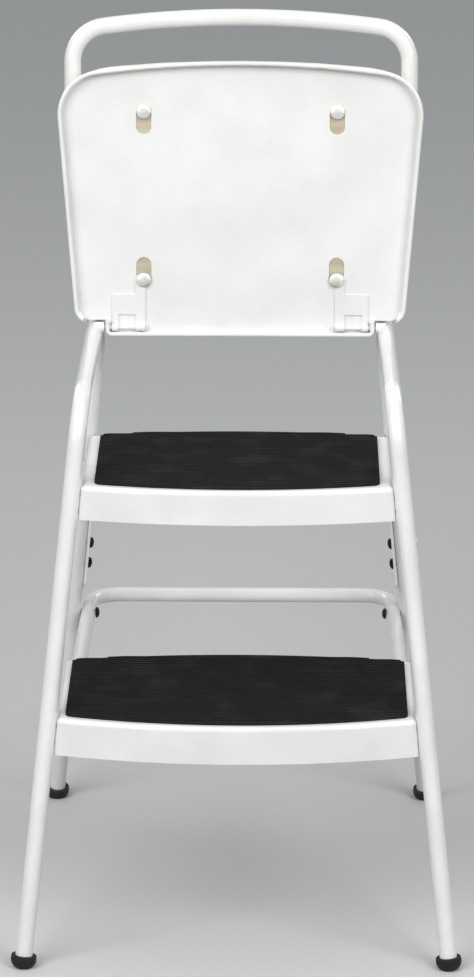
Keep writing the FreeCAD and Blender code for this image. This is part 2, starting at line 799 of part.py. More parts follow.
def corner_edges(shape):
    """Names of the edges that run from the top of a block to its bottom."""
    names = []
    for index, edge in enumerate(shape.Edges, start=1):
        if edge.BoundBox.ZLength > shape.BoundBox.ZLength * 0.9:
            names.append("Edge%d" % index)
    return names


def edges_at(shape, height):
    names = []
    for index, edge in enumerate(shape.Edges, start=1):
        low, high = edge.BoundBox.ZMin, edge.BoundBox.ZMax
        if abs(low - height) < 1e-4 and abs(high - height) < 1e-4:
            names.append("Edge%d" % index)
    return names


def face_at(shape, height):
    for index, face in enumerate(shape.Faces, start=1):
        if abs(face.BoundBox.ZMin - height) < 1e-4 and abs(face.BoundBox.ZMax - height) < 1e-4:
            return "Face%d" % index
    raise ValueError("no flat face at this height")


def step_part(label, prefix, rivet_lines, passages):
    """A drawn sheet-steel step: a top, a deep apron in front and a shallower skirt behind it."""
    half, front, rear = (place(prefix + name) for name in ("StepHalf", "StepFront", "StepRear"))
    front_bow, rear_bow = size(prefix + "FrontBow"), size(prefix + "RearBow")
    apron = size(prefix + "ApronDepth")
    body = doc.addObject("PartDesign::Body", label + "_sheet")
    sketch = bowed_sketch(body, label + "_outline", half, front, rear, front_bow, rear_bow)
    pad = body.newObject("PartDesign::Pad", label + "_block")
    pad.Profile = sketch
    pad.Reversed = True
    pad.setExpression("Length", "Sizes.%sApronDepth" % prefix)
    doc.recompute()
    slant = body.newObject("PartDesign::Draft", label + "_sides")
    slant.Base = (pad, side_faces(pad.Shape))
    slant.NeutralPlane = (pad, [face_at(pad.Shape, 0)])
    slant.Angle = math.degrees(side_lean)
    doc.recompute()
    if slant.Shape.BoundBox.XLength < pad.Shape.BoundBox.XLength + 1:
        slant.Reversed = True
        doc.recompute()
    corners = body.newObject("PartDesign::Fillet", label + "_corners")
    corners.Base = (slant, corner_edges(slant.Shape))
    corners.setExpression("Radius", "Sizes.stepCornerRadius")
    doc.recompute()
    edge = body.newObject("PartDesign::Fillet", label + "_edge")
    edge.Base = (corners, edges_at(corners.Shape, 0))
    edge.setExpression("Radius", "Sizes.stepEdgeRadius")
    doc.recompute()
    shell = body.newObject("PartDesign::Thickness", label + "_shell")
    shell.Base = (edge, [face_at(edge.Shape, -apron)])
    shell.setExpression("Value", "Sizes.stepSheet")
    shell.Reversed = True
    shell.Mode = 0
    shell.Join = 0
    doc.recompute()
    trim = body.newObject("Sketcher::SketchObject", label + "_trim")
    plane = next(f for f in body.Origin.OriginFeatures if f.Role == "YZ_Plane")
    trim.AttachmentSupport = [(plane, "")]
    trim.MapMode = "FlatFace"
    skirt = -size("skirtDepth")
    low = -2 * apron
    slope_start = front + 3 * size("stepCornerRadius")
    slope_end = slope_start + apron - size("skirtDepth")
    far = rear + 4 * rear_bow
    outline = [(slope_start, low), (slope_start, -apron), (slope_end, skirt), (far, skirt), (far, low)]
    for index, start in enumerate(outline):
        end = outline[(index + 1) % len(outline)]
        trim.addGeometry(Part.LineSegment(Vector(start[0], start[1], 0), Vector(end[0], end[1], 0)), False)
    for index in range(len(outline)):
        trim.addConstraint(Sketcher.Constraint("Coincident", index, 2, (index + 1) % len(outline), 1))
    doc.recompute()
    pocket = body.newObject("PartDesign::Pocket", label + "_skirt")
    pocket.Profile = trim
    pocket.Type = 1
    pocket.Midplane = True
    body.Tip = pocket
    doc.recompute()
    if pocket.Shape.Volume > shell.Shape.Volume - 100:
        raise ValueError("the skirt was not trimmed")
    body.Placement.Base = Vector(0, 0, size(prefix + "StepHeight"))
    doc.recompute()
    drilled = drill_all(body.Shape, rivet_lines + mirrored_lines(rivet_lines), rivet_hole)
    return shape_part(label, drilled.cut(passages))


def bar_passage():
    """Hole through the lower step's rear skirt for an arm of the crossbar."""
    way = (bar_points[1] - bar_points[0]).normalize()
    spot = bar_points[0] + way * ((place("lowerStepRear") - bar_points[0].y) / way.y)
    return rod(spot - way * 8, spot + way * 2 * size("lowerRearBow"), size("barDiameter") + 1)


def brace_passage():
    """Slot through the upper step's rear skirt for a brace."""
    wide = 2 * size("stepDepth")
    behind = Part.makeBox(wide, wide, wide, Vector(0, place("upperStepRear") - 8, size("upperStepHeight") - wide))
    return brace_shape(0.6).common(behind)


def with_mirror(shape):
    return [shape, shape.mirror(Vector(), Vector(1, 0, 0))]


step_part("lower_step", "lower", lower_rivets, with_mirror(bar_passage()))
step_part("upper_step", "upper", upper_rivets, with_mirror(brace_passage()))


def mat_part(label, prefix):
    """A moulded rubber mat: a thin bowed sheet with ribs that run from side to side."""
    front_bow, rear_bow = size(prefix + "FrontBow"), size(prefix + "RearBow")
    half = place(prefix + "StepHalf") - size(prefix + "MatMargin")
    front = place(prefix + "StepFront") + size("matFrontMargin")
    rear = place(prefix + "StepRear") - size("matRearMargin")
    body = doc.addObject("PartDesign::Body", label + "_sheet")
    sketch = bowed_sketch(body, label + "_outline", half, front, rear, front_bow, rear_bow)
    pad = body.newObject("PartDesign::Pad", label + "_pad")
    pad.Profile = sketch
    pad.Length = size("matThickness") + size("ribHeight")
    doc.recompute()
    corners = body.newObject("PartDesign::Fillet", label + "_corners")
    corners.Base = (pad, upright_edges(pad.Shape))
    corners.setExpression("Radius", "Sizes.matCornerRadius")
    body.Tip = corners
    doc.recompute()
    front_most = front - front_bow + size("ribEdge")
    rear_most = rear + rear_bow - size("ribEdge")
    count = int((rear_most - front_most - size("ribWidth")) / size("ribPitch")) + 1
    spare = (rear_most - front_most - size("ribWidth") - (count - 1) * size("ribPitch")) / 2
    grooves = []
    block = Part.makeBox(4 * half, 2 * size("stepDepth") + 2 * front_bow, size("ribHeight"),
                         Vector(-2 * half, front - 2 * front_bow, size("matThickness")))
    for index in range(count):
        start = front_most + spare + index * size("ribPitch")
        grooves.append(Part.makeBox(4 * half, size("ribWidth"), size("ribHeight"),
                                    Vector(-2 * half, start, size("matThickness"))))
    valleys = block.cut(Part.makeCompound(grooves))
    mat = body.Shape.cut(valleys)
    return shape_part(label, mat, Placement(Vector(0, 0, size(prefix + "StepHeight")), Rotation()))


mat_part("lower_step_mat", "lower")
mat_part("upper_step_mat", "upper")


# Seat: pan, board and cushion, drawn lying flat about the hinge pin and then turned up.
def seat_outline(inset, height, rear_in, corner_floor=9):
    """Outline of the seat at a height above the hinge pin, drawn in by inset, and by rear_in at the rear."""
    taper = (size("seatFrontHalf") - size("seatRearHalf")) / size("seatDepth")
    rear = place("seatRear") - inset - rear_in
    rear_half = size("seatRearHalf") + taper * rear_in - inset
    rear_corner = max(size("seatRearCorner") - inset, corner_floor)
    front_corner = max(size("seatFrontCorner") - inset, corner_floor)
    front_half = size("seatFrontHalf") - inset - taper * size("seatFrontBow") / 2
    rise = math.atan2(size("seatFrontBow"), front_half)
    nose_radius = (front_half - front_corner * 1.3) / math.sin(rise) * 0.98
    nose = place("seatFront") + inset - nose_radius * (1 / math.cos(rise) - 1)
    front = nose + size("seatFrontBow")
    points = [Vector(-rear_half, rear, height), Vector(rear_half, rear, height),
              Vector(front_half, front, height), Vector(0, nose, height), Vector(-front_half, front, height)]
    radii = [rear_corner, rear_corner, front_corner, nose_radius, front_corner]
    return rounded_path(points, radii, closed=True)


def tongue_outline(inset, height):
    """Outline of the pan's tongue, which reaches down between the arms at the hinge."""
    half = size("tongueHalf") - inset
    rear = place("seatRear") - inset
    front = rear - 4 * size("tongueReach")
    points = [Vector(-half, rear, height), Vector(half, rear, height),
              Vector(half, front, height), Vector(-half, front, height)]
    corner = max(size("tongueCorner") - inset, 2)
    return rounded_path(points, [corner] * 4, closed=True)


def pan_block(inset, bottom, height):
    """The pan's outer body: the seat's outline and the tongue, as one solid."""
    main = Part.Face(seat_outline(inset, bottom, size("tongueReach"))).extrude(Vector(0, 0, height))
    tongue = Part.Face(tongue_outline(inset, bottom)).extrude(Vector(0, 0, height))
    return main.fuse(tongue).removeSplitter()


def rim_bead(bottom):
    """The rolled bead, an even band that follows the pan's whole edge."""
    radius = size("beadDiameter") / 2
    main = sweep_tube(seat_outline(radius, bottom + radius, size("tongueReach")), size("beadDiameter"))
    tongue = sweep_tube(tongue_outline(radius, bottom + radius), size("beadDiameter"))
    inside_main = Part.Face(seat_outline(2 * radius, bottom - 1, size("tongueReach")))
    inside_tongue = Part.Face(tongue_outline(2 * radius, bottom - 1))
    tall = Vector(0, 0, size("beadDiameter") + 2)
    main = main.cut(inside_tongue.extrude(tall))
    tongue = tongue.cut(inside_main.extrude(tall))
    return main, tongue


def arm_channels(bottom):
    """Room for the arms to pass through the pan's rear edge when the seat is down."""
    inner = size("tongueHalf")
    outer = arm_centre_x(0) + tube_radius + size("armRoom")
    depth = place("floorUnder") - bottom + 1
    rooms = []
    for left in (inner, -outer):
        rooms.append(Part.makeBox(outer - inner, 3 * size("tongueReach"), depth,
                                  Vector(left, place("seatRear") - 3 * size("tongueReach"), bottom - 1)))
    return rooms


def pan_shape():
    """Drawn sheet pan, open below, with a rolled bead along its rim and four slots."""
    wall_inset = size("beadDiameter") / 2 - size("panSheet") / 2
    bottom = place("floorUnder") - size("panDepth")
    block = pan_block(wall_inset, bottom, size("panDepth") + size("panSheet"))
    rim = [edge for edge in block.Edges if edge.BoundBox.ZMin > place("floorTop") - 1e-4]
    block = block.makeFillet(size("panEdgeRadius"), rim)
    opening = [face for face in block.Faces if face.BoundBox.ZMax < bottom + 1e-4]
    pan = block.makeThickness(opening, -size("panSheet"), 1e-4)
    pan = pan.fuse(list(rim_bead(bottom)))
    slots = []
    for x in (-size("slotX"), size("slotX")):
        for distance in (size("rearSlotIn"), size("frontSlotIn")):
            slots.append(slot_shape(x, place("seatRear") - distance))
    pan = pan.cut(slots + arm_channels(bottom))
    wide = size("seatRearHalf")
    pan = drill(pan, Vector(-wide, 0, 0), Vector(wide, 0, 0), size("pinDiameter") + 2 * size("pinPlay"))
    return pan.removeSplitter()


def slot_shape(x, y):
    radius = size("slotWidth") / 2
    straight = size("slotLength") - size("slotWidth")
    low = place("floorUnder") - 2
    box = Part.makeBox(size("slotWidth"), straight, 6, Vector(x - radius, y - straight / 2, low))
    ends = [Part.makeCylinder(radius, 6, Vector(x, y + side * straight / 2, low)) for side in (-1, 1)]
    return box.fuse(ends).removeSplitter()


def seat_screw_places():
    rear_y = place("seatRear") - size("rearSlotIn") + size("seatScrewShift")
    front_y = place("seatRear") - size("frontSlotIn") - size("seatScrewShift")
    return rear_y, front_y


def seat_screw_set():
    rear_y, front_y = seat_screw_places()
    depth = size("panSheet") + size("seatBoard") - 1
    screws = []
    for y, seat_level in ((rear_y, place("floorUnder") - size("leafSheet")), (front_y, place("floorUnder"))):
        head_seat = Vector(size("slotX"), y, seat_level)
        grip = place("floorUnder") + depth - seat_level
        screws.append(headed_pin(head_seat, Vector(0, 0, 1), grip, size("screwDiameter"),
                                 size("seatScrewHead"), size("seatScrewHeadHeight")))
    return both_sides(screws)


def seat_board_shape():
    outline = seat_outline(size("boardInset"), place("floorTop"), size("cushionRearIn"))
    board = Part.Face(outline).extrude(Vector(0, 0, size("seatBoard")))
    for y in seat_screw_places():
        for x in (-size("slotX"), size("slotX")):
            board = drill(board, Vector(x, y, place("floorTop") - 1),
                          Vector(x, y, place("floorUnder") + size("panSheet") + size("seatBoard") - 1),
                          size("screwDiameter"))
    return board


def cushion_shape():
    """Crowned pad: swelling sides that draw in to a seam at the pan and roll over to the crown."""
    base = place("floorTop") + size("softGap")
    full = place("cushionTop") - base
    rings = [(0.16, 0), (0.075, 0.16), (0.05, 0.34), (0.08, 0.55), (0.2, 0.74), (0.44, 0.87), (0.94, 0.95), (1.94, 1)]
    rear_in = size("cushionRearIn")
    thick = size("cushionThickness")
    outlines = [seat_outline(thick * inset, base + full * share, rear_in, thick * 0.44) for inset, share in rings]
    pad = Part.makeLoft(outlines, True, True)
    recess = seat_outline(size("boardInset") - size("softGap"), base - 1, rear_in)
    return pad.cut(Part.Face(recess).extrude(Vector(0, 0, size("seatBoard") + 1.1)))


def leaf_shape():
    """Seat half of the hinge: a strap to the rear screw, a wing and two knuckles."""
    low = place("floorUnder") - size("leafSheet")
    sheet = size("leafSheet")
    strap_left = size("leafX") - size("leafWidth") / 2
    ear_left = size("leafEarX") - size("leafEarWidth") / 2
    ear_right = size("leafEarX") + size("leafEarWidth") / 2
    screw_y = seat_screw_places()[0]
    radius = size("knuckleDiameter") / 2
    strap = Part.makeBox(size("leafWidth"), -screw_y, sheet, Vector(strap_left, screw_y, low))
    end = Part.makeCylinder(size("leafWidth") / 2 + 1, sheet, Vector(size("leafX"), screw_y, low))
    wing = Part.makeBox(ear_right - strap_left, size("leafWingFar") - size("leafWingNear"), sheet,
                        Vector(strap_left, -size("leafWingFar"), low))
    ear = Part.makeBox(size("leafEarWidth"), size("leafWingFar"), sheet, Vector(ear_left, -size("leafWingFar"), low))
    knuckles = [Part.makeCylinder(radius, size("leafWidth"), Vector(strap_left, 0, 0), Vector(1, 0, 0)),
                Part.makeCylinder(radius, size("leafEarWidth"), Vector(ear_left, 0, 0), Vector(1, 0, 0))]
    leaf = strap.fuse([end, wing, ear] + knuckles).removeSplitter()
    bore = size("pinDiameter") + 2 * size("pinPlay")
    leaf = drill(leaf, Vector(strap_left - 1, 0, 0), Vector(ear_right + 1, 0, 0), bore)
    return drill(leaf, Vector(size("slotX"), screw_y, low - 1), Vector(size("slotX"), screw_y, low + 5),
                 size("screwDiameter"))


def arm_centre_x(y):
    share = (y - arm_front.y) / (arm_end.y - arm_front.y)
    return arm_front.x + (arm_end.x - arm_front.x) * share


seat_place = seat_turned_up()
shape_part("seat_pan", pan_shape(), seat_place)
shape_part("seat_board", seat_board_shape(), seat_place)
shape_part("seat_cushion", cushion_shape(), seat_place)
shape_part("seat_screws", seat_screw_set(), seat_place)
leaf_right = shape_part("seat_hinge_right", leaf_shape(), seat_place)
mirror_part(leaf_right, "seat_hinge_left")


# Frame half of the hinge: a pin pressed into each arm, with a collar against the arm's inner face.
def arm_face_x():
    """X of the arm's inner surface where the hinge pin enters it."""
    rise = pivot.z - size("armHeight")
    return arm_centre_x(pivot.y) - math.sqrt(tube_radius ** 2 - rise ** 2)


def pin_shape():
    head_x = size("leafX") - size("leafWidth") / 2 - 0.6
    collar_start = arm_face_x() - size("pinCollarLength")
    pin = headed_pin(Vector(head_x, pivot.y, pivot.z), Vector(1, 0, 0), arm_face_x() + size("pinGrip") - head_x,
                     size("pinDiameter"), size("pinHeadDiameter"), size("pinHeadHeight"))
    collar_end = Vector(arm_centre_x(pivot.y), pivot.y, pivot.z)
    collar = rod(Vector(collar_start, pivot.y, pivot.z), collar_end, size("pinCollarDiameter"))
    return pin.fuse(collar.cut(front_tube)).removeSplitter()


pin_start = Vector(arm_face_x() - 2, pivot.y, pivot.z)
front_leg = drill(front_leg, pin_start, Vector(arm_face_x() + size("pinGrip"), pivot.y, pivot.z), size("pinDiameter"))
pin_right = shape_part("hinge_pin_right", pin_shape())
mirror_part(pin_right, "hinge_pin_left")
leg_right = shape_part("front_leg_right", front_leg)
mirror_part(leg_right, "front_leg_left")


# Backrest: a bowed plywood board between the uprights with a padded front.
def back_face():
    """Front-view outline of the backrest, following the uprights' inner faces."""
    corners = []
    for height in (size("backBottom"), size("backTop")):
        corners.append(upright_at(height).x - tube_radius - size("backSideGap"))
    low, high = size("backBottom"), size("backTop")
    points = [Vector(-corners[0], 0, low), Vector(corners[0], 0, low),
              Vector(corners[1], 0, high), Vector(-corners[1], 0, high)]
    return rounded_path(points, [size("backCorner")] * 4, closed=True)


def bowed_slab(front_arc, rear_arc):
    """Space between two plan arcs, carried up the lean of the uprights."""
    start_height = size("backBottom") - 10
    base = upright_at(start_height).y
    reach = size("shoulderX")
    lines = []
    ends = []
    for edge_y, middle_y in (front_arc, rear_arc):
        left = Vector(-reach, base + edge_y, start_height)
        right = Vector(reach, base + edge_y, start_height)
        lines.append(Part.Arc(left, Vector(0, base + middle_y, start_height), right).toShape())
        ends.append((left, right))
    sides = [Part.LineSegment(ends[0][0], ends[1][0]).toShape(), Part.LineSegment(ends[0][1], ends[1][1]).toShape()]
    wire = Part.Wire(Part.__sortEdges__(lines + sides))
    rise = size("backTop") - start_height + 10
    return Part.Face(wire).extrude(Vector(0, rise * math.tan(recline), rise))


def back_sagitta():
    reach = size("shoulderX")
    radius = size("backBowRadius")
    return radius - math.sqrt(radius * radius - reach * reach)


back_prism = Part.Face(back_face()).extrude(Vector(0, 4 * handle_height, 0))
back_prism.translate(Vector(0, -handle_height, 0))
half_board = size("backBoard") / 2
board_slab = bowed_slab((-half_board, back_sagitta() - half_board), (half_board, back_sagitta() + half_board))
back_board = board_slab.common(back_prism)
for start, end in back_screws + mirrored_lines(back_screws):
    back_board = drill(back_board, start, end, size("screwDiameter"))
shape_part("backrest_board", back_board)


def back_pad_shape():
    board_front = back_sagitta() - half_board
    slab = bowed_slab((-half_board - size("backPadEdge") - 2, board_front - size("backPadCrown")),
                      (-half_board, board_front))
    inset = back_face().makeOffset2D(-1.2)
    prism = Part.Face(inset).extrude(Vector(0, 4 * handle_height, 0))
    prism.translate(Vector(0, -handle_height, 0))
    return slab.common(prism)


shape_part("backrest_cushion", back_pad_shape())
back_screw_solids = []
for outer, tip in back_screws:
    grip = (tip - outer).Length
    screw = headed_pin(outer, tip - outer, grip, size("screwDiameter"), size("backScrewHead"),
                       size("backScrewHeadHeight"))
    back_screw_solids.append(screw.cut(rear_tube))
shape_part("backrest_screws", both_sides(back_screw_solids))


# Fasteners, in groups of like pieces.
def bolt_group(lines):
    solids = []
    for seat, end in lines:
        grip = (end - seat).Length + size("nutHeight") / 2
        solids.append(headed_pin(seat, end - seat, grip, size("boltDiameter"),
                                 size("boltHeadDiameter"), size("boltHeadHeight")))
    return both_sides(solids)


def rivet_group(lines):
    return both_sides([blind_rivet(start, end - start) for start, end in lines])


shape_part("arm_bolts", bolt_group([(arm_bolt_seat, arm_bolt_end)]))
shape_part("brace_bolts", bolt_group(brace_bolts))
shape_part("crossbar_bolts", bolt_group([bar_bolt]))
nuts = [cap_nut(end, end - seat).cut(rear_solid) for seat, end in frame_lines]
shape_part("frame_nuts", both_sides(nuts))
shape_part("lower_step_rivets", rivet_group(lower_rivets))
shape_part("upper_step_rivets", rivet_group(upper_rivets))

doc.recompute()


def check_and_export():
    os.makedirs("parts", exist_ok=True)
    for item in doc.Objects:
        if "Invalid" in item.State or "Error" in item.State:
            raise ValueError("%s failed: %s" % (item.Label, item.State))
    for item in parts:
        shape = item.Shape
        if shape.isNull() or not shape.isValid() or not shape.Solids:
            raise ValueError("%s has no valid solid" % item.Label)
    for item in parts:
        item.Shape.exportStep("parts/%s.step" % item.Label)
        print("%-22s %2d solids %10.1f mm3" % (item.Label, len(item.Shape.Solids), item.Shape.Volume))


check_and_export()
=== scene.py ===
import json
import math

import bmesh
import bpy
import numpy as np
from mathutils import Matrix, Vector
from mathutils.kdtree import KDTree


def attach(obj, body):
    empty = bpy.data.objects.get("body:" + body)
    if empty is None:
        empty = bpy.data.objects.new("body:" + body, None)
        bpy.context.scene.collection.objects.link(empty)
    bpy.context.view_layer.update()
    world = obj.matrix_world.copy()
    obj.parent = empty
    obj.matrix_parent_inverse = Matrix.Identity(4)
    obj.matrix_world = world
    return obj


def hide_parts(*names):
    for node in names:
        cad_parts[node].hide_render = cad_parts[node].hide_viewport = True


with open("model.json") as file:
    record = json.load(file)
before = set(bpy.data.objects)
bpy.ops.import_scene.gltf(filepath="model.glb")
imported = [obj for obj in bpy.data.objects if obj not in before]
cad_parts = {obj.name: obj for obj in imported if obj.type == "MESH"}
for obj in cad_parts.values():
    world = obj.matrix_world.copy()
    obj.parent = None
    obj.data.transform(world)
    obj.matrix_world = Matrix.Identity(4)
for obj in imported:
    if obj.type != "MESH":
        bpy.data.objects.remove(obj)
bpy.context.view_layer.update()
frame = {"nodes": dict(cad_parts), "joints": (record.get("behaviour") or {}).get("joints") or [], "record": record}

nodes = frame["nodes"]
scene = bpy.context.scene
mm = 0.001


# A #rrggbb screen colour as linear red, green, blue and alpha.
def toLinear(hexColor):
    channels = [int(hexColor[i:i + 2], 16) / 255 for i in (1, 3, 5)]
    linear = [c / 12.92 if c <= 0.04045 else ((c + 0.055) / 1.055) ** 2.4 for c in channels]
    return (*linear, 1.0)


# One node. Each input takes a number, a hex colour or another node's output.
def addNode(tree, kind, place, inputs=None, **settings):
    node = tree.nodes.new(kind)
    node.location = place
    for name, value in settings.items():
        setattr(node, name, value)
    for socket, value in (inputs or {}).items():
        if isinstance(value, bpy.types.NodeSocket):
            tree.links.new(value, node.inputs[socket])
        else:
            node.inputs[socket].default_value = toLinear(value) if isinstance(value, str) else value
    return node


# A new material with nothing in its node tree yet.
def startMaterial(name):
    material = bpy.data.materials.new(name)
    material.use_nodes = True
    material.node_tree.nodes.clear()
    return material, material.node_tree


# In each finish, a layer is a second tone in a pattern of that size in millimetres. It fades in as the
# pattern goes from low to high, up to its share. Roughness goes from the first to the second value
# under the first layer.

# Baked enamel on steel tube and sheet: wet-looking gloss, a faint orange peel from the spray gun, slow
# clouding, and faint grime in spots.
enamel = {
    "name": "steel_baked_enamel",
    "color": "#f3f3f2",
    "layers": [
        {"color": "#eaeae8", "mm": 60, "low": 0.35, "high": 0.7, "share": 1.0},
        {"color": "#d3d1ca", "mm": 9, "low": 0.68, "high": 0.84, "share": 0.25},
    ],
    "roughness": (0.1, 0.19),
    "grain": {"mm": 1.6, "strength": 0.06, "depthMm": 0.15},
    "shader": {"Coat Weight": 0.35, "Coat Roughness": 0.08},
}

# Lacquer sprayed on fibreboard: the same white with a satin skin that shows the board's soft waves.
boardLacquer = {
    "name": "fibreboard_sprayed_lacquer",
    "color": "#f0efec",
    "layers": [
        {"color": "#e6e5e0", "mm": 45, "low": 0.35, "high": 0.7, "share": 1.0},
        {"color": "#cbc8bf", "mm": 12, "low": 0.66, "high": 0.8, "share": 0.3},
    ],
    "roughness": (0.34, 0.5),
    "grain": {"mm": 3, "strength": 0.06, "depthMm": 0.15},
    "shader": {},
}

# Moulded mat rubber: dull black, scuffed paler in patches, with dust left in the pebble grain.
matRubber = {
    "name": "rubber_molded_mat",
    "color": "#1c1d1c",
    "layers": [
        {"color": "#272826", "mm": 35, "low": 0.5, "high": 0.72, "share": 1.0},
        {"color": "#3a3935", "mm": 3.5, "low": 0.6, "high": 0.78, "share": 0.4},
    ],
    "roughness": (0.86, 0.7),
    "grain": {"mm": 0.9, "strength": 0.25, "depthMm": 0.12},
    "shader": {"Specular IOR Level": 0.18},
}

# Moulded tip rubber: a little smoother than the mats, with floor dust on it.
footRubber = {
    "name": "rubber_molded_foot",
    "color": "#1b1d1c",
    "layers": [
        {"color": "#2b2d2b", "mm": 35, "low": 0.5, "high": 0.72, "share": 1.0},
        {"color": "#5b5952", "mm": 3.5, "low": 0.6, "high": 0.78, "share": 0.4},
    ],
    "roughness": (0.6, 0.42),
    "grain": {"mm": 1.4, "strength": 0.25, "depthMm": 0.12},
    "shader": {"Specular IOR Level": 0.28},
}

# Embossed vinyl cloth: leather-like cells with darker grain lines and a soft sheen. The real grain of
# about 0.6 mm is too fine to show, so it is drawn at twice that.
vinyl = {
    "name": "vinyl_embossed_cover",
    "color": "#efeeea",
    "layers": [
        {"color": "#e3e1db", "mm": 45, "low": 0.35, "high": 0.7, "share": 1.0},
        {"color": "#c9c5bb", "mm": 1.3, "low": 0.16, "high": 0.0, "share": 0.45, "cells": True},
    ],
    "roughness": (0.34, 0.48),
    "grain": {"mm": 1.3, "strength": 0.3, "depthMm": 0.12, "cells": True},
    "shader": {"Sheen Weight": 0.08},
}

# Sanded plywood face: long grain streaks across the seat with fine open pores.
plywood = {
    "name": "plywood_sanded",
    "color": "#cac1ad",
    "layers": [
        {"color": "#b6aa91", "mm": 9, "low": 0.35, "high": 0.65, "share": 1.0, "stretch": (0.08, 1, 1)},
        {"color": "#958969", "mm": 1.6, "low": 0.6, "high": 0.75, "share": 0.5, "stretch": (0.12, 1, 1)},
    ],
    "roughness": (0.55, 0.7),
    "grain": {"mm": 1.1, "strength": 0.3, "depthMm": 0.15, "stretch": (0.12, 1, 1)},
    "shader": {},
}

# Zinc plate on turned and headed steel: pale and satin with drawn marks, a little darker where it has
# weathered.
zincPlate = {
    "name": "steel_zinc_plated",
    "color": "#f0f1eb",
    "layers": [
        {"color": "#d9d9cf", "mm": 4, "low": 0.45, "high": 0.7, "share": 1.0},
    ],
    "roughness": (0.42, 0.58),
    "grain": {"mm": 0.6, "strength": 0.1, "depthMm": 0.05, "stretch": (1, 1, 0.15)},
    "shader": {"Metallic": 1.0},
}

# Black oxide on bolts: dark and oily, a shade deeper in spots.
blackOxide = {
    "name": "steel_black_oxide",
    "color": "#2c2c2e",
    "layers": [
        {"color": "#1f1f21", "mm": 4, "low": 0.45, "high": 0.7, "share": 1.0},
    ],
    "roughness": (0.38, 0.55),
    "grain": {"mm": 0.8, "strength": 0.1, "depthMm": 0.05, "stretch": (1, 1, 0.15)},
    "shader": {"Metallic": 1.0},
}


# Noise, or the distance to the edge of leather cells, at a real size in millimetres.
def addPattern(tree, coords, pattern, row):
    spread = addNode(tree, "ShaderNodeMapping", (-1200, row),
                     {"Vector": coords, "Scale": pattern.get("stretch", (1, 1, 1))})
    inputs = {"Vector": spread.outputs["Vector"], "Scale": 1 / (pattern["mm"] * mm)}
    if pattern.get("cells"):
        cells = addNode(tree, "ShaderNodeTexVoronoi", (-1000, row), inputs, feature="DISTANCE_TO_EDGE")
        return cells.outputs["Distance"]
    noise = addNode(tree, "ShaderNodeTexNoise", (-1000, row), {**inputs, "Detail": 5})
    return noise.outputs["Fac"]


# A second tone laid over what is under it.
def addLayer(tree, coords, under, layer, row):
    mask = addNode(tree, "ShaderNodeMapRange", (-800, row),
                   {"Value": addPattern(tree, coords, layer, row), "From Min": layer["low"],
                    "From Max": layer["high"], "To Max": layer["share"]}).outputs["Result"]
    mixed = addNode(tree, "ShaderNodeMixRGB", (-600, row),
                    {"Fac": mask, "Color1": under, "Color2": layer["color"]})
    return mixed.outputs["Color"], mask


def makeFinish(settings):
    material, tree = startMaterial(settings["name"])
    coords = addNode(tree, "ShaderNodeTexCoord", (-1400, 0)).outputs["Object"]
    tone = settings["color"]
    masks = []
    for index, layer in enumerate(settings["layers"]):
        tone, mask = addLayer(tree, coords, tone, layer, 400 - 300 * index)
        masks.append(mask)
    smooth, rough = settings["roughness"]
    gloss = addNode(tree, "ShaderNodeMapRange", (-300, 0),
                    {"Value": masks[0], "To Min": smooth, "To Max": rough})
    grain = settings["grain"]
    bump = addNode(tree, "ShaderNodeBump", (-300, -300),
                   {"Height": addPattern(tree, coords, grain, -300), "Strength": grain["strength"],
                    "Distance": grain["depthMm"] * mm})
    shader = addNode(tree, "ShaderNodeBsdfPrincipled", (0, 0),
                     {**settings["shader"], "Base Color": tone, "Roughness": gloss.outputs["Result"],
                      "Normal": bump.outputs["Normal"]})
    addNode(tree, "ShaderNodeOutputMaterial", (300, 0), {"Surface": shader.outputs["BSDF"]})
    return material


finishes = {
    "white_enamel": makeFinish(enamel),
    "white_board": makeFinish(boardLacquer),
    "mat_rubber": makeFinish(matRubber),
    "foot_rubber": makeFinish(footRubber),
    "white_vinyl": makeFinish(vinyl),
    "plywood": makeFinish(plywood),
    "zinc_steel": makeFinish(zincPlate),
    "dark_steel": makeFinish(blackOxide),
}
slotOfNode = {row["node"]: row["material_slot"] for row in frame["record"]["subparts"]}
for name, obj in nodes.items():
    obj.data.materials.clear()
    obj.data.materials.append(finishes[slotOfNode[name]])
print("materials on", len(nodes), "nodes")


# Cushions: the CAD pad as an even mesh, swollen by cloth pressure, with a welted seam round its sides.
# "face" is the way that the cushion's top looks and "along" runs up the cushion, both with the seat up.
hinge = frame["joints"][0]
seatUpTurn = math.radians(hinge["range_deg"][1])
seatPad = {
    "node": "seat_cushion",
    "body": "seat",
    "face": (0, math.sin(seatUpTurn), math.cos(seatUpTurn)),
    "along": (0, -math.cos(seatUpTurn), math.sin(seatUpTurn)),
    "voxelMm": 4.5,
    "pressure": 4,
    "swellMm": 5,
    "weltMm": 2.3,
    "seamDepthMm": 1.8,
    "puckerMm": 0.3,
    "puckerEveryMm": 15,
}
uprightTurn = seatUpTurn - math.pi / 2  # the uprights lean back like the seat in front of them
backPad = {
    "node": "backrest_cushion",
    "body": "frame",
    "face": (0, -math.cos(uprightTurn), math.sin(uprightTurn)),
    "along": (0, math.sin(uprightTurn), math.cos(uprightTurn)),
    "voxelMm": 3.2,
    "pressure": 3,
    "swellMm": 3,
    "weltMm": 1.5,
    "seamDepthMm": 0.5,
    "puckerMm": 0.15,
    "puckerEveryMm": 13,
}

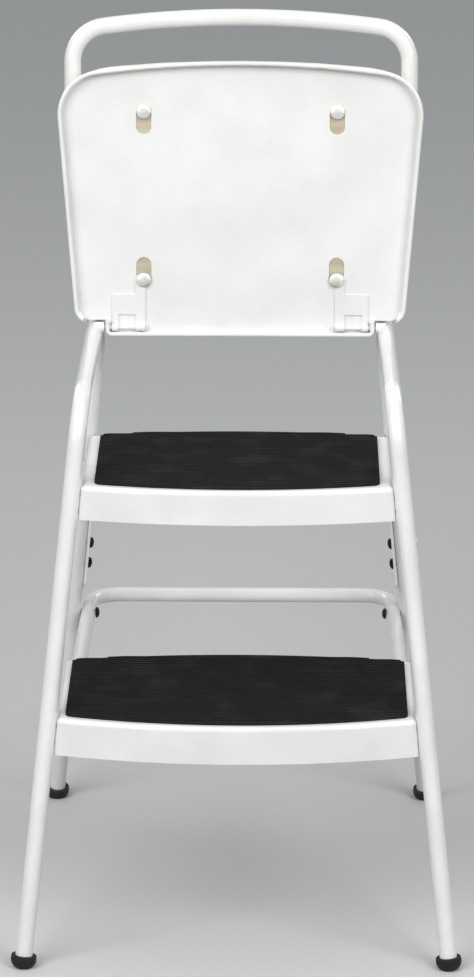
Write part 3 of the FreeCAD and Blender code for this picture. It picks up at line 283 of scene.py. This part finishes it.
# What both cushions share. The facing limits are cosines against a vertex's normal.
upholstery = {
    "relaxFactor": 0.5,
    "relaxRounds": 3,
    "quality": 4,
    "stiffness": 14,
    "bending": 2,
    "frames": 20,
    "heldFacing": -0.2,  # the side against the board doesn't swell
    "sideFacing": 0.35,  # what counts as the cushion's side
    "outFacing": 0.4,
    "loopPoints": 180,
    "loopNeighbours": 24,
    "loopRounds": 3,
    "loopStepMm": 4,
    "seamReachMm": 6,
    "puckerReachMm": 14,
    "puckerFacing": -0.2,
    "puckerDrift": 2.2,  # how far the puckers stray from an even spacing, in radians
    "puckerDriftRate": 31,  # and how fast that changes, in radians to the metre
    "weltSides": 10,
    "weltOutShare": 0.35,  # of its radius
    "weltInShare": 0.4,  # of the seam's depth
}


# Replace the object's mesh by its evaluated one and drop the modifiers.
def applyModifiers(obj):
    graph = bpy.context.evaluated_depsgraph_get()
    graph.update()
    mesh = bpy.data.meshes.new_from_object(obj.evaluated_get(graph))
    obj.modifiers.clear()
    obj.data = mesh


# Vertex places and normals as two arrays.
def readMesh(obj):
    places = np.array([v.co for v in obj.data.vertices], float)
    normals = np.array([v.normal for v in obj.data.vertices], float)
    return places, normals


def writePlaces(obj, places):
    obj.data.vertices.foreach_set("co", places.astype(np.float32).ravel())
    obj.data.update()


def evenPad(name, settings):
    pad = bpy.data.objects.new(name, nodes[settings["node"]].data.copy())
    scene.collection.objects.link(pad)
    remesh = pad.modifiers.new("voxels", "REMESH")
    remesh.mode = "VOXEL"
    remesh.voxel_size = settings["voxelMm"] * mm
    relax = pad.modifiers.new("relax", "SMOOTH")
    relax.factor = upholstery["relaxFactor"]
    relax.iterations = upholstery["relaxRounds"]
    applyModifiers(pad)
    return pad


# Blow the pad up gently from inside; what faces the board stays where it is.
def swellPad(pad, settings):
    rest, normals = readMesh(pad)
    facing = normals @ np.array(settings["face"])
    held = pad.vertex_groups.new(name="held")
    held.add([int(i) for i in np.nonzero(facing < upholstery["heldFacing"])[0]], 1.0, "REPLACE")
    cloth = pad.modifiers.new("swell", "CLOTH")
    cloth.settings.quality = upholstery["quality"]
    cloth.settings.use_pressure = True
    cloth.settings.uniform_pressure_force = settings["pressure"]
    cloth.settings.effector_weights.gravity = 0
    cloth.settings.tension_stiffness = upholstery["stiffness"]
    cloth.settings.compression_stiffness = upholstery["stiffness"]
    cloth.settings.bending_stiffness = upholstery["bending"]
    cloth.settings.vertex_group_mass = "held"
    for step in range(1, upholstery["frames"] + 1):
        scene.frame_set(step)
    applyModifiers(pad)
    scene.frame_set(1)
    moved, _ = readMesh(pad)
    shift = moved - rest
    length = np.linalg.norm(shift, axis=1)
    share = np.minimum(1, settings["swellMm"] * mm / np.maximum(length, 1e-9))  # no division by zero
    writePlaces(pad, rest + shift * share[:, None])
    print(pad.name, "swelled by up to", round(float(length.max()) / mm, 1), "mm before the cap")


def refinePad(pad):
    finer = pad.modifiers.new("finer", "SUBSURF")
    finer.levels = 1
    finer.render_levels = 1
    applyModifiers(pad)


# Closed line round the middle of the pad's sides, and the outward way at each of its points.
def sideLoop(pad, settings):
    places, normals = readMesh(pad)
    face, along = np.array(settings["face"]), np.array(settings["along"])
    centre = (places.min(0) + places.max(0)) / 2
    flat = places - centre
    right, up = flat[:, 0], flat @ along
    radius = np.hypot(right, up)
    level = np.zeros_like(right)
    outward = np.stack([right / radius, level, level], 1) + (up / radius)[:, None] * along
    sideways = np.abs(normals @ face) < upholstery["sideFacing"]
    outside = np.einsum("ij,ij->i", normals, outward) > upholstery["outFacing"]
    side = sideways & outside
    turn = np.arctan2(up, right)[side]
    sidePlaces, sideNormals = places[side], normals[side]
    loop, ways = [], []
    for target in np.linspace(-np.pi, np.pi, upholstery["loopPoints"], endpoint=False):
        gap = np.abs((turn - target + np.pi) % (2 * np.pi) - np.pi)
        near = np.argsort(gap)[:upholstery["loopNeighbours"]]
        loop.append(sidePlaces[near].mean(0))
        way = sideNormals[near].mean(0)
        way -= face * (way @ face)
        ways.append(way / np.linalg.norm(way))
    loop, ways = np.array(loop), np.array(ways)
    for _ in range(upholstery["loopRounds"]):
        loop = (np.roll(loop, 1, 0) + 2 * loop + np.roll(loop, -1, 0)) / 4
        ways = (np.roll(ways, 1, 0) + 2 * ways + np.roll(ways, -1, 0)) / 4
    return evenLoop(loop, ways)


# The same closed line with evenly spaced points, and the distance along it.
def evenLoop(loop, ways):
    closed = np.vstack([loop, loop[:1]])
    closedWays = np.vstack([ways, ways[:1]])
    steps = np.linalg.norm(np.diff(closed, axis=0), axis=1)
    distance = np.concatenate([[0], np.cumsum(steps)])
    count = int(distance[-1] / (upholstery["loopStepMm"] * mm))
    wanted = np.linspace(0, distance[-1], count, endpoint=False)
    even = np.stack([np.interp(wanted, distance, closed[:, axis]) for axis in range(3)], 1)
    evenWays = np.stack([np.interp(wanted, distance, closedWays[:, axis]) for axis in range(3)], 1)
    evenWays /= np.linalg.norm(evenWays, axis=1)[:, None]
    return even, evenWays, wanted


# Pull the cover in along the seam, with shallow puckers that fade away from it.
def drawInSeam(pad, settings, loop, ways, distance):
    places, normals = readMesh(pad)
    tree = KDTree(len(loop))
    for index, point in enumerate(loop):
        tree.insert(point, index)
    tree.balance()
    found = [tree.find(place)[1:] for place in places]
    index = np.array([row[0] for row in found])
    away = np.array([row[1] for row in found])
    seamReach, puckerReach = upholstery["seamReachMm"] * mm, upholstery["puckerReachMm"] * mm
    depth = settings["seamDepthMm"] * mm * np.exp(-(away / seamReach) ** 2)
    drift = upholstery["puckerDrift"] * np.sin(distance[index] * upholstery["puckerDriftRate"])
    wave = np.sin(2 * np.pi * distance[index] / (settings["puckerEveryMm"] * mm) + drift)
    pucker = settings["puckerMm"] * mm * wave * np.exp(-(away / puckerReach) ** 2)
    facingOut = np.einsum("ij,ij->i", normals, ways[index]) > upholstery["puckerFacing"]
    writePlaces(pad, places - normals * ((depth + pucker) * facingOut)[:, None])


# A round piping along the seam, joined into the pad's mesh.
def addWelt(pad, settings, loop, ways):
    radius = settings["weltMm"] * mm
    sides = upholstery["weltSides"]
    proud = radius * upholstery["weltOutShare"] - settings["seamDepthMm"] * mm * upholstery["weltInShare"]
    face = Vector(settings["face"])
    cover = bmesh.new()
    cover.from_mesh(pad.data)
    rings = []
    for point, way in zip(loop, ways):
        out = Vector(way)
        middle = Vector(point) + out * proud
        ring = []
        for step in range(sides):
            turn = 2 * math.pi * step / sides
            ring.append(cover.verts.new(middle + (out * math.cos(turn) + face * math.sin(turn)) * radius))
        rings.append(ring)
    for first, second in zip(rings, rings[1:] + rings[:1]):
        for step in range(sides):
            after = (step + 1) % sides
            cover.faces.new((first[step], second[step], second[after], first[after]))
    bmesh.ops.recalc_face_normals(cover, faces=cover.faces)
    for polygon in cover.faces:
        polygon.smooth = True
    cover.to_mesh(pad.data)
    cover.free()


def buildPad(name, settings):
    pad = evenPad(name, settings)
    swellPad(pad, settings)
    refinePad(pad)
    loop, ways, distance = sideLoop(pad, settings)
    drawInSeam(pad, settings, loop, ways, distance)
    addWelt(pad, settings, loop, ways)
    pad.data.materials.clear()
    pad.data.materials.append(finishes["white_vinyl"])
    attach(pad, settings["body"])
    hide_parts(settings["node"])
    print(name, len(pad.data.polygons), "faces")
    return pad


pads = [buildPad("seat_pad", seatPad), buildPad("back_pad", backPad)]


# Grey paper floor: matt, a shade cooler and paler away from the stool. The paler far tone is painted light: it
# makes up for the lamps' light falling off away from the stool. The eye and reflections see these tones, while the
# light that it throws back on the stool is that of the darker bounceColor. Distances are in metres.
floorPaper = {
    "name": "paper_floor",
    "nearColor": "#d8dada",
    "farColor": "#dfe4e6",
    "bounceColor": "#8e9090",
    "near": 0.4,
    "far": 5.0,
    "halfWidth": 16,
    "roughness": 0.6,
    "fibreMm": 2,
    "fibreStrength": 0.05,
    "fibreDepthMm": 0.1,
}


def makePaper(settings):
    material, tree = startMaterial(settings["name"])
    coords = addNode(tree, "ShaderNodeTexCoord", (-1100, 0)).outputs["Object"]
    away = addNode(tree, "ShaderNodeVectorMath", (-900, 200), {0: coords}, operation="LENGTH")
    depth = addNode(tree, "ShaderNodeMapRange", (-700, 200),
                    {"Value": away.outputs["Value"], "From Min": settings["near"],
                     "From Max": settings["far"]})
    # painted light: the tone grows paler away from the stool to make up for the lamps' falloff there
    tone = addNode(tree, "ShaderNodeMixRGB", (-500, 200),
                   {"Fac": depth.outputs["Result"], "Color1": settings["nearColor"],
                    "Color2": settings["farColor"]})
    rays = addNode(tree, "ShaderNodeLightPath", (-900, 600))
    seen = rays.outputs["Is Camera Ray"]
    for ray in ("Is Glossy Ray", "Is Transmission Ray"):
        seen = addNode(tree, "ShaderNodeMath", (-500, 600), {0: seen, 1: rays.outputs[ray]},
                       operation="MAXIMUM").outputs["Value"]
    shown = addNode(tree, "ShaderNodeMixRGB", (-250, 300),
                    {"Fac": seen, "Color1": settings["bounceColor"], "Color2": tone.outputs["Color"]})
    fibres = addNode(tree, "ShaderNodeTexNoise", (-500, -200),
                     {"Vector": coords, "Scale": 1 / (settings["fibreMm"] * mm)})
    bump = addNode(tree, "ShaderNodeBump", (-250, -200),
                   {"Height": fibres.outputs["Fac"], "Strength": settings["fibreStrength"],
                    "Distance": settings["fibreDepthMm"] * mm})
    shader = addNode(tree, "ShaderNodeBsdfPrincipled", (0, 0),
                     {"Base Color": shown.outputs["Color"], "Roughness": settings["roughness"],
                      "Normal": bump.outputs["Normal"]})
    addNode(tree, "ShaderNodeOutputMaterial", (300, 0), {"Surface": shader.outputs["BSDF"]})
    return material


def makeFloor(settings):
    sheet = bmesh.new()
    bmesh.ops.create_grid(sheet, x_segments=1, y_segments=1, size=settings["halfWidth"])
    mesh = bpy.data.meshes.new("studio_floor")
    sheet.to_mesh(mesh)
    sheet.free()
    mesh.materials.append(makePaper(settings))
    obj = bpy.data.objects.new("studio_floor", mesh)
    scene.collection.objects.link(obj)


# Two soft boxes in front, high on both sides, and a weak one overhead. Sizes in metres, power in watts.
openLamps = [
    {"name": "key_left", "place": (-1.9, -2.6, 2.6), "target": (0, 0, 0.6), "size": 2.6, "watts": 88},
    {"name": "key_right", "place": (2.0, -2.6, 2.5), "target": (0, 0, 0.6), "size": 2.0, "watts": 68},
    {"name": "top_soft", "place": (0, -0.2, 3.4), "target": (0, -0.2, 0), "size": 2.4, "watts": 16},
]
# Two more behind, linked to the stool alone, lift its back without a glare on the paper.
stoolLamps = [
    {"name": "back_left", "place": (-2.2, 2.4, 2.2), "target": (0, 0, 0.5), "size": 1.6, "watts": 22},
    {"name": "back_right", "place": (2.2, 2.4, 2.2), "target": (0, 0, 0.5), "size": 1.6, "watts": 22},
]
studioWorld = {"color": "#ffffff", "strength": 0.3}


def makeLamp(settings):
    data = bpy.data.lights.new(settings["name"], "AREA")
    data.size = settings["size"]
    data.energy = settings["watts"]
    lamp = bpy.data.objects.new(settings["name"], data)
    lamp.location = settings["place"]
    aim = Vector(settings["target"]) - lamp.location
    lamp.rotation_mode = "QUATERNION"
    lamp.rotation_quaternion = aim.to_track_quat("-Z", "Y")
    lamp.visible_camera = False
    scene.collection.objects.link(lamp)
    return lamp


def makeWorld(settings):
    world = bpy.data.worlds.new("studio")
    world.use_nodes = True
    background = world.node_tree.nodes["Background"]
    background.inputs["Color"].default_value = toLinear(settings["color"])
    background.inputs["Strength"].default_value = settings["strength"]
    scene.world = world


makeFloor(floorPaper)
stool = bpy.data.collections.new("stool_only")
for obj in [*nodes.values(), *pads]:
    stool.objects.link(obj)
for row in openLamps:
    makeLamp(row)
for row in stoolLamps:
    makeLamp(row).light_linking.receiver_collection = stool
makeWorld(studioWorld)
scene.view_settings.view_transform = "Standard"
print("stage and", len(openLamps) + len(stoolLamps), "lamps")


# Camera solved from the photograph: place in millimetres, turns in radians, and the focal length in
# pixels of its 474 by 977 frame.
cameraFit = {
    "place": (47.6, -4698.5, 1847.3),
    "pitch": 0.2936,
    "yaw": -0.0106,
    "roll": 0.00104,
    "focal": 4779,
    "frameHeight": 977,
    "sensorMm": 36,
    "clipEnd": 60,  # metres, past the far edge of the floor
}


def makeCamera(fit):
    data = bpy.data.cameras.new("photo_camera")
    data.sensor_width = fit["sensorMm"]
    data.lens = fit["focal"] * data.sensor_width / fit["frameHeight"]
    data.clip_end = fit["clipEnd"]
    pitch, yaw = fit["pitch"], fit["yaw"]
    level = math.cos(pitch)
    forward = Vector((math.sin(yaw) * level, math.cos(yaw) * level, -math.sin(pitch)))
    right = Vector((math.cos(yaw), -math.sin(yaw), 0))
    turn = Matrix((right, right.cross(forward), -forward)).transposed()
    camera = bpy.data.objects.new("photo_camera", data)
    camera.rotation_mode = "QUATERNION"
    camera.rotation_quaternion = (turn @ Matrix.Rotation(fit["roll"], 3, "Z")).to_quaternion()
    camera.location = Vector(fit["place"]) * mm
    scene.collection.objects.link(camera)
    scene.camera = camera


makeCamera(cameraFit)
print("scene ready")
